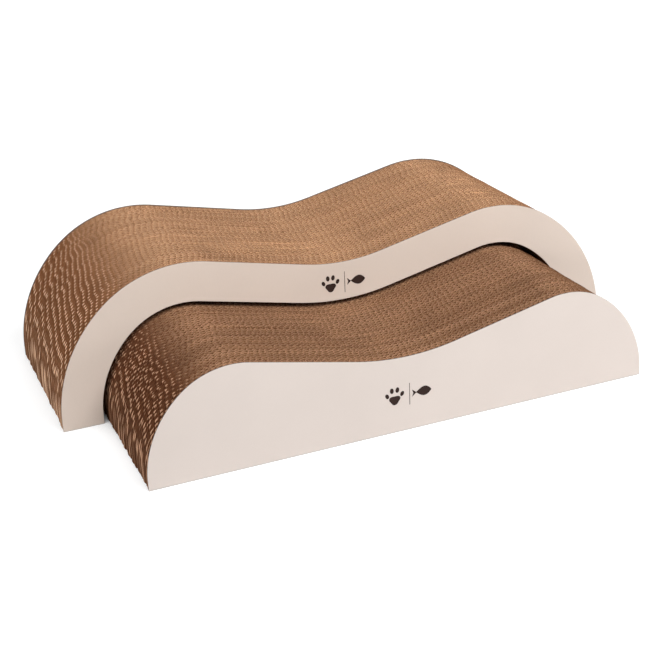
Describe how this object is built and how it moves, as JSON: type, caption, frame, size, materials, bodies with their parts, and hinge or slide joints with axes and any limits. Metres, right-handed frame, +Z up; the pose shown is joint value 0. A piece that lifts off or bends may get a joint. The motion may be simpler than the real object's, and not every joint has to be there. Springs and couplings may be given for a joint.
{
  "type": "wave cat scratcher",
  "caption": "Wave-shaped corrugated cardboard cat scratcher: a solid wave block that slides into the tunnel of a matching wave arch.",
  "frame": {"origin": "centre of the footprint on the floor, with the block drawn out of the arch as pictured", "axes": "+X along the wave, the printed fronts face -Y, +Z up"},
  "size_m": [0.7752, 0.4442, 0.1941],
  "materials": {
    "kraft_board": "raw cut corrugated board",
    "printed_cream": "matt cream print"
  },
  "bodies": {
    "arch": {"arch_front_panel": "printed_cream", "arch_rear_panel": "printed_cream", "arch_board_pair_01": "kraft_board", "arch_board_pair_02": "kraft_board", "arch_board_pair_03": "kraft_board", "arch_board_pair_04": "kraft_board", "arch_board_pair_05": "kraft_board", "arch_board_pair_06": "kraft_board", "arch_board_pair_07": "kraft_board", "arch_board_pair_08": "kraft_board", "arch_board_pair_09": "kraft_board", "arch_board_pair_10": "kraft_board", "arch_board_pair_11": "kraft_board", "arch_board_pair_12": "kraft_board", "arch_board_pair_13": "kraft_board", "arch_board_pair_14": "kraft_board", "arch_board_pair_15": "kraft_board", "arch_board_pair_16": "kraft_board", "arch_board_pair_17": "kraft_board", "arch_board_pair_18": "kraft_board", "arch_board_pair_19": "kraft_board", "arch_board_pair_20": "kraft_board"},
    "core": {"core_front_panel": "printed_cream", "core_rear_panel": "printed_cream", "core_board_pair_01": "kraft_board", "core_board_pair_02": "kraft_board", "core_board_pair_03": "kraft_board", "core_board_pair_04": "kraft_board", "core_board_pair_05": "kraft_board", "core_board_pair_06": "kraft_board", "core_board_pair_07": "kraft_board", "core_board_pair_08": "kraft_board", "core_board_pair_09": "kraft_board", "core_board_pair_10": "kraft_board", "core_board_pair_11": "kraft_board", "core_board_pair_12": "kraft_board", "core_board_pair_13": "kraft_board", "core_board_pair_14": "kraft_board", "core_board_pair_15": "kraft_board", "core_board_pair_16": "kraft_board", "core_board_pair_17": "kraft_board", "core_board_pair_18": "kraft_board", "core_board_pair_19": "kraft_board", "core_board_pair_20": "kraft_board"}
  },
  "joints": [
    {"name": "core_slide", "type": "slide", "parent": "arch", "child": "core", "axis": [0, -1, 0], "range_m": [-0.187, 0.09]}
  ]
}
